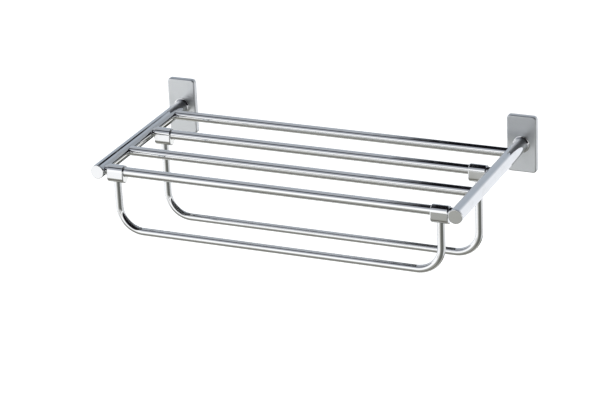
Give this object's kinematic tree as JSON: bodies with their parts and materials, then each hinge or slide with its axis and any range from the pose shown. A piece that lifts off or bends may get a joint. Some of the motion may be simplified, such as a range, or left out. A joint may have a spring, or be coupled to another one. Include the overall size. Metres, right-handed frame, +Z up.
{
  "type": "towel rack",
  "caption": "Wall-mounted chrome towel rack: a shelf of round bars between two arms on square wall plates, with U-shaped rails hung on blocks below.",
  "frame": {"origin": "on the wall plane, midway between the two wall plates, at the height of the arm axes", "axes": "+X along the shelf bars, to the right of someone who faces the wall; +Y into the wall; +Z up"},
  "size_m": [0.626, 0.309, 0.19],
  "materials": {
    "arm_chrome": "polished chrome plate on the arm tubes",
    "bar_chrome": "polished chrome plate on the shelf bars",
    "rail_chrome": "polished chrome plate on the hanging rails",
    "block_chrome": "polished chrome plate on the cast hanger blocks",
    "cover_chrome": "chrome plate on the pressed wall covers",
    "fitting_chrome": "polished chrome plate on the turned posts and end caps",
    "bracket_zinc": "zinc-plated sheet steel, dull",
    "screw_steel": "plain steel screws, satin"
  },
  "bodies": {
    "shelf": {"wall_bracket_left": "bracket_zinc", "wall_cover_left": "cover_chrome", "cover_set_screw_left": "screw_steel", "arm_post_left": "fitting_chrome", "post_washer_left": "bracket_zinc", "post_screw_left": "screw_steel", "arm_tube_left": "arm_chrome", "arm_cap_left": "fitting_chrome", "arm_set_screw_left": "screw_steel", "wall_bracket_right": "bracket_zinc", "wall_cover_right": "cover_chrome", "cover_set_screw_right": "screw_steel", "arm_post_right": "fitting_chrome", "post_washer_right": "bracket_zinc", "post_screw_right": "screw_steel", "arm_tube_right": "arm_chrome", "arm_cap_right": "fitting_chrome", "arm_set_screw_right": "screw_steel", "shelf_bar_1": "bar_chrome", "shelf_bar_2": "bar_chrome", "shelf_bar_3": "bar_chrome", "shelf_bar_4": "bar_chrome", "bar_1_set_screw_left": "screw_steel", "bar_1_set_screw_right": "screw_steel", "bar_2_set_screw_left": "screw_steel", "bar_2_set_screw_right": "screw_steel", "bar_3_set_screw_left": "screw_steel", "bar_3_set_screw_right": "screw_steel", "bar_4_set_screw_left": "screw_steel", "bar_4_set_screw_right": "screw_steel"},
    "front_hanger": {"front_rail": "rail_chrome", "front_block_left": "block_chrome", "front_block_set_screw_left": "screw_steel", "front_block_right": "block_chrome", "front_block_set_screw_right": "screw_steel"},
    "rear_hanger": {"rear_rail": "rail_chrome", "rear_block_left": "block_chrome", "rear_block_set_screw_left": "screw_steel", "rear_block_right": "block_chrome", "rear_block_set_screw_right": "screw_steel"}
  },
  "joints": [
    {"name": "front_rail_swing", "type": "hinge", "parent": "shelf", "child": "front_hanger", "pos_m": [0, -0.294, 0], "axis": [1, 0, 0], "range_deg": [-90, 45]},
    {"name": "rear_rail_swing", "type": "hinge", "parent": "shelf", "child": "rear_hanger", "pos_m": [0, -0.13, 0], "axis": [1, 0, 0], "range_deg": [-45, 60]}
  ]
}
